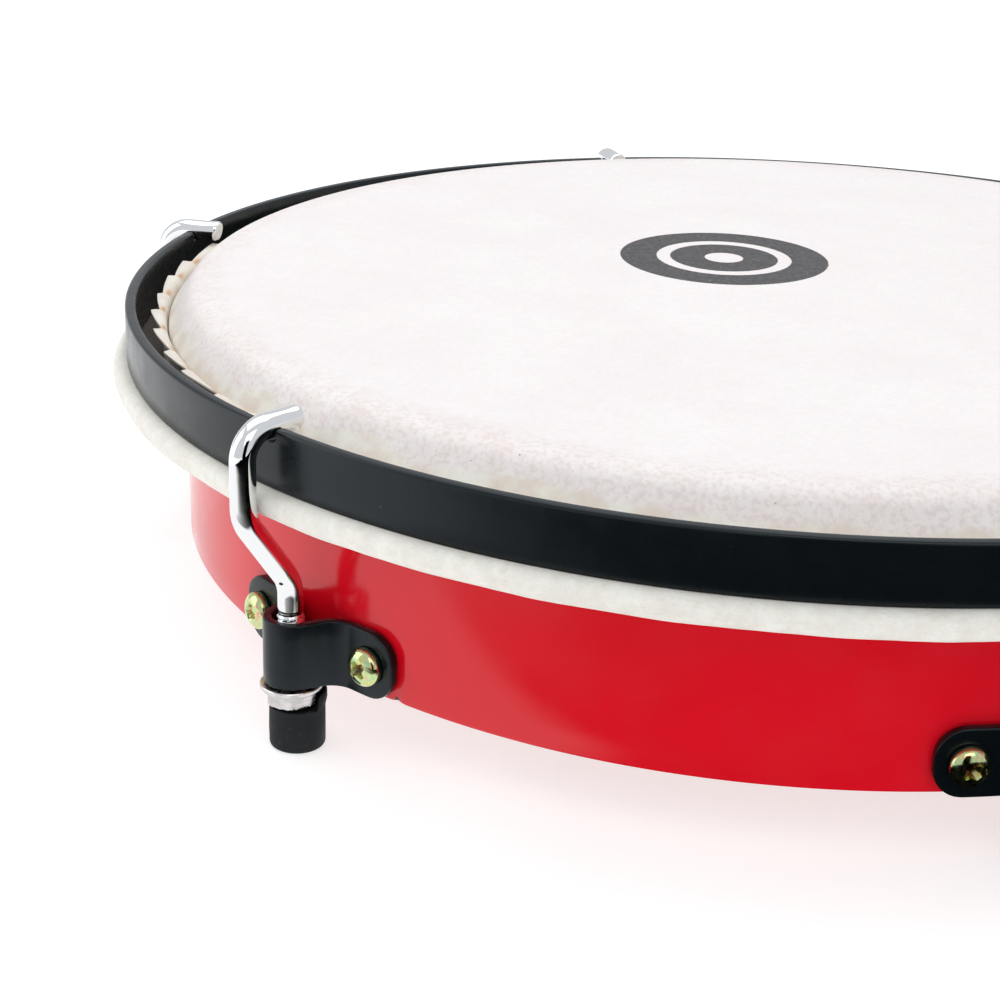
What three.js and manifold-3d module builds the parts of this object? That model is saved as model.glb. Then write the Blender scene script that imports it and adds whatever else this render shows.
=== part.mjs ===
// Tunable hand drum with a 12 inch skin head, in millimetres, +Z up.
// The origin is on the drum's axis, level with the bottoms of the six rubber caps that it stands on.
import * as THREE from 'three';
import { mergeVertices } from 'three/addons/utils/BufferGeometryUtils.js';
import Module from 'manifold-3d';

const wasm = await Module();
wasm.setup();

// Clearance left between pieces that touch.
const GAP = 0.3;
// Sides of every large ring, and steps in the quarter circle over the bearing edge.
const RING_SIDES = 60;
const EDGE_STEPS = 3;
// Sides of screws, nuts, rods and other small round pieces.
const SMALL_SIDES = 10;
const ROD_SIDES = 10;
const CAP_SIDES = 16;

// Heights above the rubber caps' bottoms.
const HOOP_TOP = 73.1;
const HEAD_TOP = 76.5;
const SHELL_BOTTOM = 15;

// Shell: a straight moulded cylinder with a rounded bearing edge.
const SHELL_RADIUS = 152.1;
const SHELL_WALL = 7;
const SHELL_EDGE_ROUND = 0.6;

// Skin head, stretched over the bearing edge.
const SKIN = 0.8;
const SHOULDER_RADIUS = 7.5;
const SKIRT_BOTTOM = 65.5;

// Steel counterhoop, on top of the wrapped flesh hoop.
const HOOP_RADIUS = 166.4;
const HOOP_WALL = 2.6;
const HOOP_HEIGHT = 12.6;
const HOOP_ROUND = 0.8;
// Depth and width of the notches in its top edge that the hooks lie in.
const NOTCH_DEPTH = 3;
const NOTCH_WIDTH = 6.4;

// Flesh hoop and the skin that is wrapped round it.
const WRAP_RADIUS = 169.5;
const WRAP_INNER_RADIUS = 154.2;
const WRAP_HEIGHT = 5.8;
const WRAP_CORNER = 2.2;
const FLAP_FOOT_RADIUS = 158.2;
const FLAP_TIP_RADIUS = 159.4;
const FLAP_TOP = HOOP_TOP - 3.2;

// Six tension lugs, 60 degrees apart.
const LUGS = 6;
const ROD_RADIUS = 2.72;
const ROD_AXIS_RADIUS = 160.2;
const HOOK_LEG_OFFSET = 12.4;
const HOOK_TWIST = THREE.MathUtils.degToRad(5);
const HOOK_TOP_BEND = 6.2;
const HOOK_TIP_OFFSET = -2.4;
const S_BEND_RADIUS = 9;
const S_BEND_ANGLE = THREE.MathUtils.degToRad(36);
const S_BEND_TOP = 57.5;
const ROD_END = 2.6;

// Pressed steel strap that holds the rod against the shell.
const STRAP = 2;
const STRAP_HEIGHT = 15;
const SADDLE_RADIUS = 5.3;
const SADDLE_AXIS_RADIUS = 159.7;
const SADDLE_SWEEP = THREE.MathUtils.degToRad(74);
const EAR_BEND = 5;
const EAR_HALF_LENGTH = 24.5;
const EAR_CORNER = 6;
// Each bracket, with its screws, sits slightly to one side of its rod.
const BRACKET_TURN = THREE.MathUtils.degToRad(-0.4);

// M6 flange nut under the strap, and the rubber cap below it.
const NUT_TOP = SHELL_BOTTOM - GAP;
const NUT_FLANGE_RADIUS = 6.7;
const NUT_FLANGE_HEIGHT = 1.4;
const NUT_HEX_FLATS = 10;
const NUT_HEX_HEIGHT = 3.3;
const NUT_BORE_RADIUS = 3.2;
const CAP_RADIUS = 5.95;
const CAP_BORE_RADIUS = 3.2;
const CAP_TOP = NUT_TOP - NUT_FLANGE_HEIGHT - NUT_HEX_HEIGHT - GAP;
const CAP_FLOOR = ROD_END - GAP;
const CAP_ROUND = 0.6;

// M4 pan head screws through the ears and the shell, with flange nuts inside.
const SCREW_ANGLE = THREE.MathUtils.degToRad(6.75);
const SCREW_HEIGHT = SHELL_BOTTOM + 7.5;
const SCREW_RADIUS = 2;
const SCREW_HOLE_RADIUS = 2.45;
const SCREW_LENGTH = 16;
const SCREW_HEAD_RADIUS = 4.2;
const SCREW_HEAD_HEIGHT = 3;
const RECESS_WIDTH = 1.1;
const RECESS_LENGTH = 4.2;
const RECESS_DEPTH = 1.5;
const INNER_NUT_FLATS = 7;
const INNER_NUT_HEIGHT = 3.2;
const INNER_FLANGE_RADIUS = 4.6;
const INNER_FLANGE_HEIGHT = 1.1;

const SHELL_INNER_RADIUS = SHELL_RADIUS - SHELL_WALL;
const EAR_INNER_RADIUS = SHELL_RADIUS + GAP;
const EAR_OUTER_RADIUS = EAR_INNER_RADIUS + STRAP;
const SKIRT_RADIUS = SHELL_RADIUS + GAP + SKIN;
const WRAP_TOP = HOOP_TOP - HOOP_HEIGHT - GAP;
const WRAP_BOTTOM = WRAP_TOP - WRAP_HEIGHT;

const materials = {
  shell: new THREE.MeshStandardMaterial({ color: 0xc8121f, roughness: 0.18, metalness: 0 }),
  skin: new THREE.MeshStandardMaterial({ color: 0xeadfd6, roughness: 0.75, metalness: 0 }),
  wrappedSkin: new THREE.MeshStandardMaterial({ color: 0xd9d6c8, roughness: 0.9, metalness: 0 }),
  wood: new THREE.MeshStandardMaterial({ color: 0xb98f5e, roughness: 0.7, metalness: 0 }),
  blackSteel: new THREE.MeshStandardMaterial({ color: 0x15181b, roughness: 0.35, metalness: 0.2 }),
  chrome: new THREE.MeshStandardMaterial({ color: 0xdcdcdc, roughness: 0.08, metalness: 1 }),
  nickel: new THREE.MeshStandardMaterial({ color: 0xc9bfb6, roughness: 0.25, metalness: 1 }),
  rubber: new THREE.MeshStandardMaterial({ color: 0x24282a, roughness: 0.85, metalness: 0 }),
  yellowZinc: new THREE.MeshStandardMaterial({ color: 0xc9b35a, roughness: 0.3, metalness: 1 }),
};

const vec2 = (x, y) => new THREE.Vector2(x, y);

// Points along an arc, ends included.
function arcPoints(cx, cy, radius, from, to, steps) {
  const points = [];
  for (let i = 0; i <= steps; i++) {
    const angle = THREE.MathUtils.degToRad(from + ((to - from) * i) / steps);
    points.push(vec2(cx + radius * Math.cos(angle), cy + radius * Math.sin(angle)));
  }
  return points;
}

// A ring about +Z from a closed outline of (radius, height) points, listed anticlockwise.
function lathe(outline, sides) {
  const geometry = new THREE.LatheGeometry([...outline, outline[0]], sides);
  return geometry.rotateX(Math.PI / 2);
}

// A turned solid about +Z whose outline starts and ends on the axis, listed upwards.
function turned(outline, sides) {
  return new THREE.LatheGeometry(outline, sides).rotateX(Math.PI / 2);
}

// A prism that stands on z = bottom.
function prism(shape, height, bottom) {
  const geometry = new THREE.ExtrudeGeometry(shape, { depth: height, bevelEnabled: false });
  return geometry.translate(0, 0, bottom);
}

// A regular outline whose corners lie on a circle.
function polygon(radius, sides) {
  return new THREE.Shape(arcPoints(0, 0, radius, 0, 360 - 360 / sides, sides - 1));
}

function hexagon(flats) {
  return polygon(flats / Math.sqrt(3), 6);
}

function toSolid(geometry) {
  const bare = geometry.clone();
  bare.deleteAttribute('normal');
  bare.deleteAttribute('uv');
  const merged = mergeVertices(bare, 1e-4);
  const vertProperties = new Float32Array(merged.attributes.position.array);
  const triVerts = new Uint32Array(merged.index.array);
  return new wasm.Manifold(new wasm.Mesh({ numProp: 3, vertProperties, triVerts }));
}

function toGeometry(solid) {
  const mesh = solid.getMesh();
  const geometry = new THREE.BufferGeometry();
  geometry.setAttribute('position', new THREE.BufferAttribute(mesh.vertProperties, 3));
  geometry.setIndex(new THREE.BufferAttribute(mesh.triVerts, 1));
  geometry.computeVertexNormals();
  return geometry;
}

function named(name, geometry, material) {
  const mesh = new THREE.Mesh(geometry, material);
  mesh.name = name;
  return mesh;
}

// Directions of the screws, from the drum's axis.
function screwAngles() {
  const angles = [];
  for (let lug = 0; lug < LUGS; lug++) {
    const centre = (lug * 2 * Math.PI) / LUGS + BRACKET_TURN;
    angles.push(centre - SCREW_ANGLE, centre + SCREW_ANGLE);
  }
  return angles;
}

// A cylinder that lies along the radius at an angle, between two distances from the axis.
function radialCylinder(radius, from, to, angle, height, sides) {
  const geometry = new THREE.CylinderGeometry(radius, radius, to - from, sides);
  geometry.rotateZ(-Math.PI / 2).translate((from + to) / 2, 0, height);
  return geometry.rotateZ(angle);
}

function shell() {
  const edgeCentre = SHELL_RADIUS - SHOULDER_RADIUS + SKIN + GAP;
  const top = HEAD_TOP - SKIN - GAP;
  const bearing = SHELL_RADIUS - edgeCentre;
  const outline = [
    vec2(SHELL_INNER_RADIUS, SHELL_BOTTOM + SHELL_EDGE_ROUND),
    vec2(SHELL_INNER_RADIUS + SHELL_EDGE_ROUND, SHELL_BOTTOM),
    vec2(SHELL_RADIUS - SHELL_EDGE_ROUND, SHELL_BOTTOM),
    vec2(SHELL_RADIUS, SHELL_BOTTOM + SHELL_EDGE_ROUND),
    ...arcPoints(edgeCentre, top - bearing, bearing, 0, 90, EDGE_STEPS),
    vec2(SHELL_INNER_RADIUS, top - SHELL_EDGE_ROUND),
  ];
  let solid = toSolid(lathe(outline, RING_SIDES));
  for (const angle of screwAngles()) {
    const hole = radialCylinder(
      SCREW_HOLE_RADIUS, SHELL_INNER_RADIUS - 2, SHELL_RADIUS + 2, angle, SCREW_HEIGHT, SMALL_SIDES);
    solid = solid.subtract(toSolid(hole));
  }
  return named('shell', toGeometry(solid), materials.shell);
}

// The playing surface, its rounded shoulder and the short skirt beside the shell.
function drumheadSkin() {
  const centre = SKIRT_RADIUS - SHOULDER_RADIUS;
  const top = HEAD_TOP - SHOULDER_RADIUS;
  const outline = [
    vec2(0, HEAD_TOP - SKIN),
    ...arcPoints(centre, top, SHOULDER_RADIUS - SKIN, 90, 0, EDGE_STEPS),
    vec2(SKIRT_RADIUS - SKIN, SKIRT_BOTTOM),
    vec2(SKIRT_RADIUS, SKIRT_BOTTOM),
    ...arcPoints(centre, top, SHOULDER_RADIUS, 0, 90, EDGE_STEPS),
    vec2(0, HEAD_TOP),
  ];
  return named('drumhead_skin', turned(outline, RING_SIDES), materials.skin);
}

// The skin from the skirt's foot, under and round the flesh hoop, and up into the free flap.
function skinWrap() {
  const inside = WRAP_INNER_RADIUS + SKIN;
  const corner = WRAP_CORNER;
  const innerCorner = corner - SKIN;
  const outline = [
    vec2(WRAP_INNER_RADIUS, SKIRT_BOTTOM),
    vec2(WRAP_INNER_RADIUS, WRAP_BOTTOM + corner),
    ...arcPoints(WRAP_INNER_RADIUS + corner, WRAP_BOTTOM + corner, corner, 225, 270, 1),
    ...arcPoints(WRAP_RADIUS - corner, WRAP_BOTTOM + corner, corner, 270, 360, 2),
    ...arcPoints(WRAP_RADIUS - corner, WRAP_TOP - corner, corner, 0, 90, 2),
    vec2(FLAP_FOOT_RADIUS + SKIN, WRAP_TOP),
    vec2(FLAP_TIP_RADIUS + SKIN / 2, FLAP_TOP),
    vec2(FLAP_TIP_RADIUS - SKIN / 2, FLAP_TOP),
    vec2(FLAP_FOOT_RADIUS, WRAP_TOP - SKIN),
    ...arcPoints(WRAP_RADIUS - corner, WRAP_TOP - corner, innerCorner, 90, 0, 1),
    ...arcPoints(WRAP_RADIUS - corner, WRAP_BOTTOM + corner, innerCorner, 0, -90, 1),
    ...arcPoints(WRAP_INNER_RADIUS + corner, WRAP_BOTTOM + corner, innerCorner, 270, 225, 1),
    vec2(inside, WRAP_BOTTOM + corner),
    vec2(inside, SKIRT_BOTTOM),
  ];
  return named('skin_wrap', lathe(outline, RING_SIDES), materials.wrappedSkin);
}

function fleshHoop() {
  const margin = SKIN + GAP;
  const chamfer = WRAP_CORNER - margin + 0.5;
  const [inner, outer] = [WRAP_INNER_RADIUS + margin, WRAP_RADIUS - margin];
  const [bottom, top] = [WRAP_BOTTOM + margin, WRAP_TOP - margin];
  const outline = [
    vec2(inner, top - chamfer),
    vec2(inner, bottom + chamfer),
    vec2(inner + chamfer, bottom),
    vec2(outer - chamfer, bottom),
    vec2(outer, bottom + chamfer),
    vec2(outer, top - chamfer),
    vec2(outer - chamfer, top),
    vec2(inner + chamfer, top),
  ];
  return named('flesh_hoop', lathe(outline, RING_SIDES), materials.wood);
}

function counterhoop() {
  const inner = HOOP_RADIUS - HOOP_WALL;
  const bottom = HOOP_TOP - HOOP_HEIGHT;
  const shoulder = HOOP_TOP - HOOP_ROUND;
  const outline = [
    vec2(inner, bottom),
    vec2(HOOP_RADIUS, bottom),
    ...arcPoints(HOOP_RADIUS - HOOP_ROUND, shoulder, HOOP_ROUND, 0, 90, 2),
    ...arcPoints(inner + HOOP_ROUND, shoulder, HOOP_ROUND, 90, 180, 2),
  ];
  let solid = toSolid(lathe(outline, RING_SIDES));
  for (let lug = 0; lug < LUGS; lug++) {
    solid = solid.subtract(toSolid(hookNotch((lug * 2 * Math.PI) / LUGS)));
  }
  return named('counterhoop', toGeometry(solid), materials.blackSteel);
}

// The room that one hook takes out of the counterhoop's top edge, square to the hook.
function hookNotch(lugAngle) {
  const notch = new THREE.BoxGeometry(4 * HOOP_WALL, NOTCH_WIDTH, 2 * NOTCH_DEPTH);
  notch.translate(HOOP_RADIUS - HOOP_WALL / 2 - ROD_AXIS_RADIUS, 0, HOOP_TOP).rotateZ(HOOK_TWIST);
  return notch.translate(ROD_AXIS_RADIUS, 0, 0).rotateZ(lugAngle);
}

// A bent rod's centre line as stations, each a place and a direction, close together only in bends.
class RodPath extends THREE.Curve {
  constructor() {
    super();
    this.stations = [];
    this.place = new THREE.Vector3();
    this.heading = 0;
  }

  // Headings turn in the XZ plane, from 0 straight up towards +X.
  direction() {
    return new THREE.Vector3(Math.sin(this.heading), 0, Math.cos(this.heading));
  }

  mark() {
    this.stations.push({ place: this.place.clone(), direction: this.direction() });
    return this;
  }

  startAt(x, z) {
    this.place.set(x, 0, z);
    return this.mark();
  }

  straight(length) {
    this.place.addScaledVector(this.direction(), length);
    return this.mark();
  }

  bend(radius, turn, steps) {
    const chord = 2 * radius * Math.sin(Math.abs(turn) / steps / 2);
    for (let i = 0; i < steps; i++) {
      this.heading += turn / steps / 2;
      this.place.addScaledVector(this.direction(), chord);
      this.heading += turn / steps / 2;
      this.mark();
    }
    return this;
  }

  steps() {
    return this.stations.length - 1;
  }

  getPointAt(u) {
    return this.stations[Math.round(u * this.steps())].place.clone();
  }

  getTangentAt(u) {
    return this.stations[Math.round(u * this.steps())].direction.clone();
  }
}

// The hook rod stands on its own axis: threaded foot, S bend outwards, leg, and the hook over the hoop.
function hookRod(name) {
  const rise = 2 * S_BEND_RADIUS * Math.sin(S_BEND_ANGLE);
  const spread = 2 * S_BEND_RADIUS * (1 - Math.cos(S_BEND_ANGLE));
  const slope = (HOOK_LEG_OFFSET - spread) / Math.sin(S_BEND_ANGLE);
  const sBendBottom = S_BEND_TOP - rise - slope * Math.cos(S_BEND_ANGLE);
  const hookHeight = HOOP_TOP - NOTCH_DEPTH + GAP + ROD_RADIUS;
  const path = new RodPath()
    .startAt(0, ROD_END)
    .straight(sBendBottom - ROD_END)
    .bend(S_BEND_RADIUS, S_BEND_ANGLE, 2)
    .straight(slope)
    .bend(S_BEND_RADIUS, -S_BEND_ANGLE, 2)
    .straight(hookHeight - HOOK_TOP_BEND - S_BEND_TOP)
    .bend(HOOK_TOP_BEND, -Math.PI / 2, 5)
    .straight(HOOK_LEG_OFFSET - HOOK_TOP_BEND - HOOK_TIP_OFFSET);
  const section = polygon(ROD_RADIUS, ROD_SIDES);
  const geometry = new THREE.ExtrudeGeometry(section, { extrudePath: path, steps: path.steps() });
  const mesh = named(name, geometry, materials.chrome);
  mesh.position.x = ROD_AXIS_RADIUS;
  mesh.rotation.z = HOOK_TWIST;
  return mesh;
}

// Half of the strap's outline, offset from its middle line, from the saddle's front to the ear's end.
function strapSide(offset, side) {
  const saddle = SADDLE_RADIUS + offset;
  const sweep = THREE.MathUtils.radToDeg(SADDLE_SWEEP);
  const points = arcPoints(SADDLE_AXIS_RADIUS, 0, saddle, 0, sweep, 4);
  const earRadius = EAR_INNER_RADIUS + STRAP / 2;
  const bend = EAR_BEND - offset;
  const bendDistance = earRadius + EAR_BEND;
  const bendX = Math.sqrt(bendDistance ** 2 - earBendCentre() ** 2);
  const bendAngle = Math.atan2(earBendCentre(), bendX);
  const start = 180 + sweep;
  const end = 180 + THREE.MathUtils.radToDeg(bendAngle);
  points.push(...arcPoints(bendX, earBendCentre(), bend, start, end, 3));
  const earEnd = Math.asin((EAR_HALF_LENGTH + 1) / earRadius);
  points.push(...arcPoints(0, 0, earRadius + offset, THREE.MathUtils.radToDeg(bendAngle),
    THREE.MathUtils.radToDeg(earEnd), 4).slice(1));
  return points.map((p) => vec2(p.x, side * p.y));
}

// Sideways place of the centre of the bend between saddle wall and ear: the wall is tangent to both arcs.
function earBendCentre() {
  const [cos, sin] = [Math.cos(SADDLE_SWEEP), Math.sin(SADDLE_SWEEP)];
  const reach = SADDLE_RADIUS + EAR_BEND;
  const distance = EAR_INNER_RADIUS + STRAP / 2 + EAR_BEND;
  let y = reach;
  for (let i = 0; i < 20; i++) {
    const x = Math.sqrt(distance ** 2 - y ** 2);
    const wall = (SADDLE_AXIS_RADIUS + reach * cos - x) / sin;
    y = reach * sin + wall * cos;
  }
  return y;
}

function bracket(name) {
  const outer = strapSide(STRAP / 2, 1);
  const inner = strapSide(-STRAP / 2, 1);
  const outerMirror = strapSide(STRAP / 2, -1).slice(1).reverse();
  const innerMirror = strapSide(-STRAP / 2, -1).slice(1).reverse();
  const outline = new THREE.Shape([...outerMirror, ...outer, ...inner.reverse(), ...innerMirror.reverse()]);
  let solid = toSolid(prism(outline, STRAP_HEIGHT, SHELL_BOTTOM));
  solid = solid.intersect(toSolid(earTrim()));
  for (const side of [-1, 1]) {
    const hole = radialCylinder(
      SCREW_HOLE_RADIUS, EAR_INNER_RADIUS - 2, EAR_OUTER_RADIUS + 2, side * SCREW_ANGLE, SCREW_HEIGHT,
      SMALL_SIDES);
    solid = solid.subtract(toSolid(hole));
  }
  return named(name, toGeometry(solid), materials.blackSteel);
}

// A block along the radius whose rounded outline trims the ears' corners.
function earTrim() {
  const [w, c] = [EAR_HALF_LENGTH, EAR_CORNER];
  const top = STRAP_HEIGHT + 0.01;
  const outline = new THREE.Shape([
    ...arcPoints(w - c, c, c, -90, 0, 2),
    ...arcPoints(w - c, top - c, c, 0, 90, 2),
    ...arcPoints(c - w, top - c, c, 90, 180, 2),
    ...arcPoints(c - w, c, c, 180, 270, 2),
  ]);
  const geometry = new THREE.ExtrudeGeometry(outline, { depth: 30, bevelEnabled: false });
  geometry.rotateX(Math.PI / 2).rotateZ(Math.PI / 2);
  return geometry.translate(SHELL_RADIUS - 10, 0, SHELL_BOTTOM - 0.005);
}

function flangeNut(name) {
  const flangeBottom = NUT_TOP - NUT_FLANGE_HEIGHT;
  const hexTop = flangeBottom + NUT_FLANGE_HEIGHT / 2;
  const hexBottom = flangeBottom - NUT_HEX_HEIGHT;
  const flange = toSolid(prism(polygon(NUT_FLANGE_RADIUS, CAP_SIDES), NUT_FLANGE_HEIGHT, flangeBottom));
  const hex = toSolid(prism(hexagon(NUT_HEX_FLATS), hexTop - hexBottom, hexBottom));
  const bore = toSolid(prism(polygon(NUT_BORE_RADIUS, ROD_SIDES), NUT_TOP - hexBottom + 2, hexBottom - 1));
  const mesh = named(name, toGeometry(flange.add(hex).subtract(bore)), materials.nickel);
  mesh.position.x = ROD_AXIS_RADIUS;
  return mesh;
}

function rubberCap(name) {
  const outline = [
    vec2(0, 0),
    vec2(CAP_RADIUS - CAP_ROUND, 0),
    vec2(CAP_RADIUS, CAP_ROUND),
    vec2(CAP_RADIUS, CAP_TOP),
    vec2(CAP_BORE_RADIUS, CAP_TOP),
    vec2(CAP_BORE_RADIUS, CAP_FLOOR),
    vec2(0, CAP_FLOOR),
  ];
  const mesh = named(name, turned(outline, CAP_SIDES), materials.rubber);
  mesh.position.x = ROD_AXIS_RADIUS;
  return mesh;
}

// Points a piece turned about +Z outwards along the radius, with its z = 0 at the given distance.
function aimOutwards(mesh, distance, side) {
  mesh.rotation.set(0, Math.PI / 2, 0);
  mesh.position.set(distance, 0, SCREW_HEIGHT);
  const arm = new THREE.Group();
  arm.rotation.z = side * SCREW_ANGLE;
  arm.add(mesh);
  return arm;
}

function bracketScrew(name, side) {
  const rim = SCREW_HEAD_HEIGHT * 0.45;
  const outline = [
    vec2(0, -SCREW_LENGTH),
    vec2(SCREW_RADIUS, -SCREW_LENGTH),
    vec2(SCREW_RADIUS, 0),
    vec2(SCREW_HEAD_RADIUS, 0),
    vec2(SCREW_HEAD_RADIUS, rim),
    vec2(SCREW_HEAD_RADIUS * 0.72, SCREW_HEAD_HEIGHT * 0.88),
    vec2(0, SCREW_HEAD_HEIGHT),
  ];
  let solid = toSolid(turned(outline, SMALL_SIDES));
  const slot = new THREE.BoxGeometry(RECESS_LENGTH, RECESS_WIDTH, 2 * RECESS_DEPTH);
  slot.translate(0, 0, SCREW_HEAD_HEIGHT);
  solid = solid.subtract(toSolid(slot.clone().rotateZ(Math.PI / 4)));
  solid = solid.subtract(toSolid(slot.clone().rotateZ(-Math.PI / 4)));
  return aimOutwards(named(name, toGeometry(solid), materials.yellowZinc), EAR_OUTER_RADIUS + GAP, side);
}

// M4 flange nut that clamps the screw from inside the shell; it faces inwards, so it hangs below z = 0.
function innerNut(name, side) {
  const rim = polygon(INNER_FLANGE_RADIUS, SMALL_SIDES);
  const hole = polygon(SCREW_HOLE_RADIUS, SMALL_SIDES);
  const flange = toSolid(prism(rim, INNER_FLANGE_HEIGHT, -INNER_FLANGE_HEIGHT));
  const hex = toSolid(prism(hexagon(INNER_NUT_FLATS), INNER_NUT_HEIGHT, -INNER_NUT_HEIGHT));
  const bore = toSolid(prism(hole, INNER_NUT_HEIGHT + 2, -INNER_NUT_HEIGHT - 1));
  const sagitta = SHELL_INNER_RADIUS - Math.sqrt(SHELL_INNER_RADIUS ** 2 - INNER_FLANGE_RADIUS ** 2);
  const chordDip = SHELL_INNER_RADIUS * (1 - Math.cos(Math.PI / RING_SIDES));
  const seat = SHELL_INNER_RADIUS - sagitta - chordDip - GAP;
  const solid = flange.add(hex).subtract(bore);
  return aimOutwards(named(name, toGeometry(solid), materials.nickel), seat, side);
}

function lug(index) {
  const group = new THREE.Group();
  const number = index + 1;
  group.add(hookRod(`hook_rod_${number}`));
  group.add(flangeNut(`flange_nut_${number}`));
  group.add(rubberCap(`rubber_cap_${number}`));
  const mount = new THREE.Group();
  mount.add(bracket(`bracket_${number}`));
  for (const [side, letter] of [[-1, 'a'], [1, 'b']]) {
    mount.add(bracketScrew(`bracket_screw_${number}${letter}`, side));
    mount.add(innerNut(`inner_nut_${number}${letter}`, side));
  }
  mount.rotation.z = BRACKET_TURN;
  group.add(mount);
  group.rotation.z = (index * 2 * Math.PI) / LUGS;
  return group;
}

const drum = new THREE.Group();
drum.add(shell());
drum.add(drumheadSkin());
drum.add(skinWrap());
drum.add(fleshHoop());
drum.add(counterhoop());
for (let index = 0; index < LUGS; index++) {
  drum.add(lug(index));
}

export default drum;
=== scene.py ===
"""Visual model of a tunable hand drum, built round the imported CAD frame.

Lengths are millimetres in the drum's own frame, and `mesh_object` turns them into metres.
"""
import math
import random

import bpy
import numpy as np
from mathutils import Matrix, Vector, noise


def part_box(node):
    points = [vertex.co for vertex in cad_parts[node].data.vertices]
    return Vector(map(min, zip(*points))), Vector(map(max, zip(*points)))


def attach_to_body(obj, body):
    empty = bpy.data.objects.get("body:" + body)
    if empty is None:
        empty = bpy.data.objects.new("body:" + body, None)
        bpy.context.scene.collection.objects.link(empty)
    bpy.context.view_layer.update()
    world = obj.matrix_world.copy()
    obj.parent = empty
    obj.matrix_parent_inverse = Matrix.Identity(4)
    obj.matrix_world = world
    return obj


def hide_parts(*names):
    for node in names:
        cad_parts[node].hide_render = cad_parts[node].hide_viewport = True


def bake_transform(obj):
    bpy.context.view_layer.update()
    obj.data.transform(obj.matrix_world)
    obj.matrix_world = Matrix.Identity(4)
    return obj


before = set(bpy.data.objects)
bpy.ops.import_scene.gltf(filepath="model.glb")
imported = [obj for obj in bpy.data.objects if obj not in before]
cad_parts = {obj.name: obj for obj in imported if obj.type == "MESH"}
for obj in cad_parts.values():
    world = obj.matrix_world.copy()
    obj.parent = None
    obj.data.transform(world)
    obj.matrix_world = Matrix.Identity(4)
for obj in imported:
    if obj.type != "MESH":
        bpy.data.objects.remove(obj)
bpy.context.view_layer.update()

MM = 0.001
TAU = 2 * math.pi
SHARP_ANGLE = math.radians(38)
LUGS = 6


def cad_box(node):
    """Lowest and highest corners of a CAD node, in millimetres."""
    low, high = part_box(node)
    return low / MM, high / MM


# ---------------------------------------------------------------- dimensions from the frame

GAP = 0.3
SKIN = 0.8
shell_low, shell_high = cad_box("shell")
_, head_high = cad_box("drumhead_skin")
wrap_low, wrap_high = cad_box("skin_wrap")
flesh_low, flesh_high = cad_box("flesh_hoop")
hoop_low, hoop_high = cad_box("counterhoop")
hook_low, _ = cad_box("hook_rod_1")
nut_low, nut_high = cad_box("flange_nut_1")
cap_low, cap_high = cad_box("rubber_cap_1")
bracket_low, bracket_high = cad_box("bracket_1")

SHELL_RADIUS = shell_high.x
SHELL_WALL = 7.0
HEAD_TOP = head_high.z
SKIRT_RADIUS = head_high.x
SHOULDER_RADIUS = 7.5
HOOP_RADIUS = hoop_high.x
HOOP_WALL = 2.6
NOTCH_DEPTH = 3.0
NOTCH_WIDTH = 6.4
HOOP_TOP = hoop_high.z
HOOP_BOTTOM = hoop_low.z
WRAP_RADIUS = wrap_high.x
WRAP_BOTTOM = wrap_low.z
WRAP_TOP = HOOP_BOTTOM - GAP
WRAP_INNER = 154.2

ROD_AXIS = (nut_low.x + nut_high.x) / 2
ROD_RADIUS = 2.72
ROD_END = hook_low.z
HOOK_TWIST = math.radians(5)
HOOK_LEG = 12.4
HOOK_TIP = -2.4
HOOK_BEND = 6.2
S_RADIUS = 9.0
S_ANGLE = math.radians(36)
S_TOP = 57.5

STRAP = 2.0
STRAP_BOTTOM = bracket_low.z
STRAP_TOP = bracket_high.z
EAR_RADIUS = SHELL_RADIUS + GAP + STRAP / 2
EAR_HALF_LENGTH = (bracket_high.y - bracket_low.y) / 2
EAR_CORNER = 6.4
EAR_BEND = 6.5
SADDLE_AXIS = 159.7
SADDLE_RADIUS = 5.3
SADDLE_SWEEP = math.radians(74)
BRACKET_TURN = math.radians(-0.4)

SCREW_ANGLE = math.radians(6.75)
SCREW_HEIGHT = STRAP_BOTTOM + 7.5
SCREW_SEAT = EAR_RADIUS + STRAP / 2 + GAP
INNER_SEAT = SHELL_RADIUS - SHELL_WALL - 0.6
INNER_NUT_HEIGHT = 3.2

# The lug nearest the camera, how its nut stands, and where the shell's lower edge is nicked beside it.
VIEW_LUG = 4
VIEW_NUT_TURN = math.radians(22.6)
NICK_ANGLE = TAU * VIEW_LUG / LUGS + math.radians(8.6)


# ---------------------------------------------------------------- mesh helpers


def mesh_object(name, points, faces, place=None):
    """A smooth-shaded object from points in millimetres."""
    matrix = place or Matrix.Identity(4)
    scaled = [tuple((matrix @ Vector(p)) * MM) for p in points]
    mesh = bpy.data.meshes.new(name)
    mesh.from_pydata(scaled, [], faces)
    mesh.validate()
    mesh.shade_smooth()
    mesh.set_sharp_from_angle(angle=SHARP_ANGLE)
    mesh.update()
    obj = bpy.data.objects.new(name, mesh)
    bpy.context.scene.collection.objects.link(obj)
    return obj


def grid(rows, closed_rows=False, cap_first=False, cap_last=False):
    """Points and quads over closed rows; the rows may join last to first, or be capped at the ends."""
    count, width = len(rows), len(rows[0])
    points = [p for row in rows for p in row]
    faces = []
    for i in range(count if closed_rows else count - 1):
        below, above = i * width, ((i + 1) % count) * width
        for j in range(width):
            k = (j + 1) % width
            faces.append((below + j, below + k, above + k, above + j))
    if cap_first:
        faces.append(tuple(reversed(range(width))))
    if cap_last:
        last = (count - 1) * width
        faces.append(tuple(range(last, last + width)))
    return points, faces


def arc(cx, cy, radius, start, end, steps):
    """Points along an arc in degrees, ends included."""
    turns = [math.radians(start + (end - start) * i / steps) for i in range(steps + 1)]
    return [(cx + radius * math.cos(t), cy + radius * math.sin(t)) for t in turns]


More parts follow.
